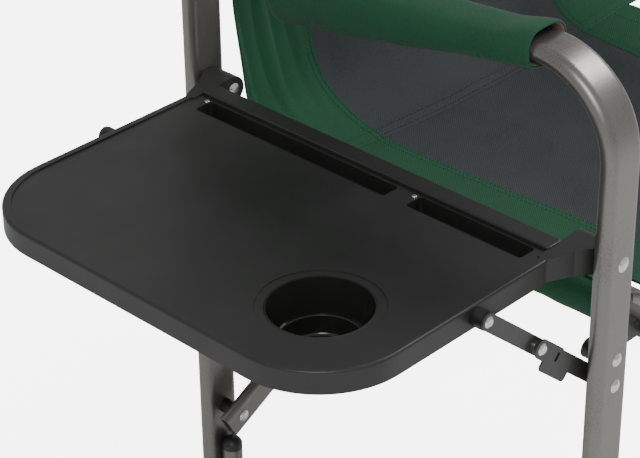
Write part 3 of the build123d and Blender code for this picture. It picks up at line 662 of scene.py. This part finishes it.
# %% Rail and post sleeves
TUBE_RINGS, TUBE_POINTS = 60, 40
RAIL_SLEEVE_HALF = 0.1700
RAIL_SIZE = (0.0150, 0.0160, 0.0155)  # half width, and reach above and below the rail's centre
POST_SIZE = (0.0212, 0.0104, 0.0104)


def tube_sleeve(name, middle, direction, half, across, up, size, power, seed):
    rings = []
    for j in range(TUBE_RINGS + 1):
        spot = middle + direction * (2 * j / TUBE_RINGS - 1) * half
        def crinkle(angle):
            return 0.05 * ruffle(angle * 0.012, j * half / 30, 0.022, seed)
        rings.append(ring_round(spot, across, up, *size, power, TUBE_POINTS, crinkle))
    return sleeve(name, rings, green_cloth, None, 0.0011)


X, Y, Z = Vector((1, 0, 0)), Vector((0, 1, 0)), Vector((0, 0, 1))
for side, rail, post, seed in (("right", right_rail, right_post, 1.0),
                               ("left", left_rail, left_post, 6.0)):
    middle = Vector((rail.x, 0, rail.z))
    tube = tube_sleeve("seat_sleeve_" + side, middle, Y, RAIL_SLEEVE_HALF, X, Z, RAIL_SIZE,
                       2.2, seed)
    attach(tube, side + "_rail")
    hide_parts(side + "_seat_sleeve")
    low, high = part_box(side + "_back_sleeve")
    middle = Vector((post.x, post.y, (low.z + high.z) / 2))
    cover = tube_sleeve("back_sleeve_" + side, middle, Z, (high.z - low.z) / 2, X, Y,
                        POST_SIZE, 3.2, seed + 3)
    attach(cover, side + "_frame")
    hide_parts(side + "_back_sleeve")
    print("sleeves on the", side, "rail and post")

# %% [markdown]
# ## Stitching
# Seams are lockstitched, one stitch every 3.4 mm. Each stitch is a small grain of thread that
# lies on the cloth, so the builder walks a line over the cloth and sets one grain per step.
# All the grains of one panel make one mesh.

# %% Stitches
HALF_STITCH = 0.0017  # the thread shows for one half of each stitch
GRAIN_LIFT = 0.0004
BAND_LIFT, HEM_LIFT = 0.0012, 0.0010  # how far a seam's thread lies above the cloth's middle


def stitches(name, lines, material, half_long=0.0012, half_wide=0.00045):
    """Thread grains along lines. Each line is a list of (place, outward direction)."""
    points, faces = [], []
    for line in lines:
        for (a, out), (b, _) in zip(line[::2], line[1::2]):
            way = (b - a).normalized()
            wide = way.cross(out).normalized()
            spot = (a + b) / 2 + out * GRAIN_LIFT
            k = len(points)
            points += [spot - way * half_long, spot + wide * half_wide, spot + out * half_wide,
                       spot - wide * half_wide, spot - out * half_wide, spot + way * half_long]
            for i in range(4):
                faces.append((k, k + 1 + i, k + 1 + (i + 1) % 4))
                faces.append((k + 5, k + 1 + (i + 1) % 4, k + 1 + i))
    mesh = bpy.data.meshes.new(name)
    mesh.from_pydata(points, [], faces)
    mesh.uv_layers.new(name="flat_pattern")
    return finish_mesh(name, mesh, material)


def line_on(shape, path, lift, pitch=HALF_STITCH):
    """Walk a path of (x, s) over a shape in steps, with the cloth's normal at each step."""
    walked = []
    for (x0, s0), (x1, s1) in zip(path, path[1:]):
        steps = max(2, int(math.hypot(x1 - x0, s1 - s0) / pitch))
        for k in range(steps):
            x, s = x0 + (x1 - x0) * k / steps, s0 + (s1 - s0) * k / steps
            here = shape(x, s)
            out = (shape(x + 0.002, s) - here).cross(shape(x, s + 0.002) - here).normalized()
            walked.append((here + out * lift, out))
    return walked


def down(edge, offset, low, high, mirror=False):
    """A path beside an edge function, from low to high along the cloth."""
    path = []
    for k in range(41):
        s = low + (high - low) * k / 40
        x = edge(s) + offset
        path.append((post_gap - x if mirror else x, s))
    return path


print("stitch pitch", round(2000 * HALF_STITCH, 1), "mm")

# %% Sew the seams
BAND_ROWS = (0.0012, -0.005)  # two rows of thread, beside the seam between green and grey
EDGE_HEM, RAIL_HEM, FREE_EDGE_END = 0.004, 0.021, 0.250
seat_lines = []
back_lines = {run: [] for run in BACK_RUNS}
for mirror in (False, True):
    for offset in BAND_ROWS:
        path = down(seam_at, offset, SEAT_FRONT, SEAT_BACK, mirror)
        seat_lines.append(line_on(seat_shape, path, BAND_LIFT))
        for run, (low, high) in BACK_RUNS.items():
            path = down(back_seam_at, offset, low, high, mirror)
            back_lines[run].append(line_on(back_shape, path, BAND_LIFT))
    for run, low, high in (("curve", 0.0, CURVE_END), ("back", CURVE_END, FREE_EDGE_END)):
        path = down(back_edge, EDGE_HEM, low, high, mirror)
        back_lines[run].append(line_on(back_shape, path, BAND_LIFT))
    path = down(lambda s: rail_in + RAIL_HEM, 0, -0.168, SEAT_BACK, mirror)
    seat_lines.append(line_on(seat_shape, path, BAND_LIFT))
hems, junction, crown = [], [], []
for s in (SEAT_FRONT + 0.003, SEAT_FRONT + 0.019):
    hems.append(line_on(seat_shape, [(rail_in + 0.03, s), (post_gap - rail_in - 0.03, s)],
                        HEM_LIFT))
for s in (0.005, 0.012):
    junction.append(line_on(back_shape, [(0.05, s), (post_gap - 0.05, s)], HEM_LIFT))
for s in (BACK_LENGTH - 0.003, BACK_LENGTH - 0.022):
    crown.append(line_on(back_shape, [(0.0, s), (post_gap, s)], HEM_LIFT))
sewing = {
    "seat": [stitches("seat_band_stitches", seat_lines, green_thread),
             stitches("seat_hem_stitches", hems, grey_thread)],
    "curve": [stitches("curve_band_stitches", back_lines["curve"], green_thread),
              stitches("curve_seam_stitches", junction, grey_thread)],
    "back": [stitches("back_band_stitches", back_lines["back"], green_thread),
             stitches("back_seam_stitches", crown, grey_thread)],
}
print("stitches:", sum(len(o.data.vertices) // 6 for pair in sewing.values() for o in pair))

# %% [markdown]
# ## How the cloth moves with the chair
# When the chair folds, the two sides come together and the cloth between them crumples, while
# the rails climb and lift the seat with the curve behind it. Each panel rides on the right rail
# or the right post; the share of its width it would keep, as the gap to the left one shrinks, is worked out.

# %% Ride on the frame, and size the cuts
fold_joint = next(j for j in frame["joints"] if j["name"] == "chair_fold")
fold = math.radians(fold_joint["range_deg"][1])
pivot_in = fold_joint["pos_m"][0] - right_post.x
pivot_z = fold_joint["pos_m"][2]
rest_angle = math.atan2(right_rail.z - pivot_z, post_gap - pivot_in - rail_in)
half_low = (post_gap / 2 - pivot_in) / math.cos(rest_angle)
half_high = (post_gap / 2 - rail_in) / math.cos(rest_angle)
seat_keep = 2 * half_high * math.cos(rest_angle + fold) / (post_gap - 2 * rail_in)
back_keep = (2 * half_low * math.cos(rest_angle + fold) + 2 * pivot_in) / post_gap

seat_panels = [seat_grey, seat_right, seat_left]
FOLDING = [("right_rail", right_rail.x, seat_keep, seat_panels + sewing["seat"]),
           ("right_rail", right_rail.x, seat_keep, back_panels["curve"] + sewing["curve"]),
           ("right_frame", right_post.x, back_keep, back_panels["back"] + sewing["back"])]
for body, anchor_x, keep, pieces in FOLDING:
    for piece in pieces:
        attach(piece, body)
        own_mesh(piece)
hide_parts("seat_panel")
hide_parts("back_panel", "back_flap")
print("seat keeps", round(seat_keep, 3), "of its width, back keeps", round(back_keep, 3))

def flat_area(across, along):
    """Flat area of a panel's cut, and its widest and longest measures."""
    steps = [along[0] + (along[1] - along[0]) * k / 200 for k in range(201)]
    widths = [across(s)[1] - across(s)[0] for s in steps]
    return sum(widths) / len(widths) * (along[1] - along[0]), max(widths), along[1] - along[0]


# The seat's left band is cut to the right one's pattern, turned over.
SHEETS = [
    (seat_grey, seat_centre_span, SEAT_RUN, [sewing["seat"][1]],
     ["right_seat_rail", "left_seat_rail"]),
    (seat_right, seat_right_span, SEAT_RUN, [sewing["seat"][0]], ["right_seat_rail"]),
    (seat_left, seat_right_span, SEAT_RUN, [], ["left_seat_rail"]),
]
for run, right_holder, left_holder in (("curve", "right_seat_rail", "left_seat_rail"),
                                       ("back", "right_rear_post", "left_rear_post")):
    centre_piece, right_piece, left_piece = back_panels[run]
    SHEETS += [(centre_piece, back_centre_span, BACK_RUNS[run], [sewing[run][1]],
                [right_holder, left_holder]),
               (right_piece, back_right_span, BACK_RUNS[run], [sewing[run][0]], [right_holder]),
               (left_piece, back_left_span, BACK_RUNS[run], [], [left_holder])]
for piece, across, along, stitched, holders in SHEETS:
    cut, wide, long = flat_area(across, along)
    print(piece.name, "cut", round(wide, 3), "by", round(long, 3), "m")

# %% [markdown]
# ## Floor and light
# The chair stands on a pale studio floor, lit from below like a light table, so that it comes
# out almost white and shadowless. The floor glows fully only towards the lens, because the
# chair itself should get most of its light from the soft room above. One large soft light from
# the table's side models the tubes, and a weaker one from the other side lifts the far side.

# %% Studio
FLOOR_HALF = 20.0
GLOW_TO_ALL, GLOW_TO_LENS = 0.15, 6.0
ROOM_LIGHT, KEY_POWER, RIM_POWER = 0.62, 40, 35
CHAIR_MIDDLE = (0, 0, 0.5)


def studio_floor():
    finish, tree, shader = start_material("matt_white_studio_paint", 0.0, 0.9)
    shader.inputs["Base Color"].default_value = linear("#F4F6F5")
    shader.inputs["Emission Color"].default_value = linear("#F6F8F7")
    towards_lens = add(tree, "LightPath").outputs["Is Camera Ray"]
    glow = add(tree, "MapRange", [("Value", towards_lens), ("To Min", GLOW_TO_ALL),
                                  ("To Max", GLOW_TO_LENS)])
    tree.links.new(glow.outputs["Result"], shader.inputs["Emission Strength"])
    mesh = bpy.data.meshes.new("studio_floor")
    far = FLOOR_HALF
    corners = [(-far, -far, 0), (far, -far, 0), (far, far, 0), (-far, far, 0)]
    mesh.from_pydata(corners, [], [(0, 1, 2, 3)])
    mesh.materials.append(finish)
    floor = bpy.data.objects.new("studio_floor", mesh)
    bpy.context.scene.collection.objects.link(floor)
    return floor


def soft_light(name, place, target, size, power):
    lamp = bpy.data.lights.new(name, "AREA")
    lamp.shape = "DISK"
    lamp.size = size
    lamp.energy = power
    holder = bpy.data.objects.new(name, lamp)
    bpy.context.scene.collection.objects.link(holder)
    holder.location = place
    aim = Vector(target) - Vector(place)
    holder.rotation_euler = aim.to_track_quat("-Z", "Y").to_euler()
    return holder


studio_floor()
world = bpy.data.worlds.new("studio")
bpy.context.scene.world = world
world.use_nodes = True
room = world.node_tree.nodes["Background"]
room.inputs["Color"].default_value = linear("#F6F8F7")
room.inputs["Strength"].default_value = ROOM_LIGHT
soft_light("key", (-2.2, -1.6, 2.6), CHAIR_MIDDLE, 1.2, KEY_POWER)
soft_light("rim", (1.8, -0.6, 2.4), CHAIR_MIDDLE, 0.9, RIM_POWER)
print("studio: floor, world and two lights")

# %% [markdown]
# ## Camera
# A long lens, about 125 mm, looks down at the table's corner from the front right. Its
# direction is given as turn, tilt and roll, and its place is counted from the right post.

# %% Camera
LENS_MM, SENSOR_MM = 124.9, 36.0
FROM_POST_X, FROM_MIDDLE_Y, ABOVE_HINGE = -1.1481, -1.0337, 0.8690  # metres
turn, tilt, roll = math.radians(-45.78), math.radians(31.08), math.radians(-0.76)
back_way = Vector((math.sin(turn) * math.cos(tilt), -math.cos(turn) * math.cos(tilt),
                   math.sin(tilt)))
right_way = Vector((math.cos(turn), math.sin(turn), 0))
up_way = back_way.cross(right_way)
rolled_right = math.cos(roll) * right_way + math.sin(roll) * up_way
rolled_up = -math.sin(roll) * right_way + math.cos(roll) * up_way
camera_data = bpy.data.cameras.new("camera")
camera_data.sensor_width = SENSOR_MM
camera_data.lens = LENS_MM
camera = bpy.data.objects.new("camera", camera_data)
bpy.context.scene.collection.objects.link(camera)
camera.matrix_world = Matrix((rolled_right, rolled_up, back_way)).transposed().to_4x4()
camera.location = Vector((right_post.x + FROM_POST_X, FROM_MIDDLE_Y, hinge_z + ABOVE_HINGE))
bpy.context.scene.camera = camera
print("camera at", [round(v, 3) for v in camera.location])

# %% Update the scene
bpy.context.view_layer.update()
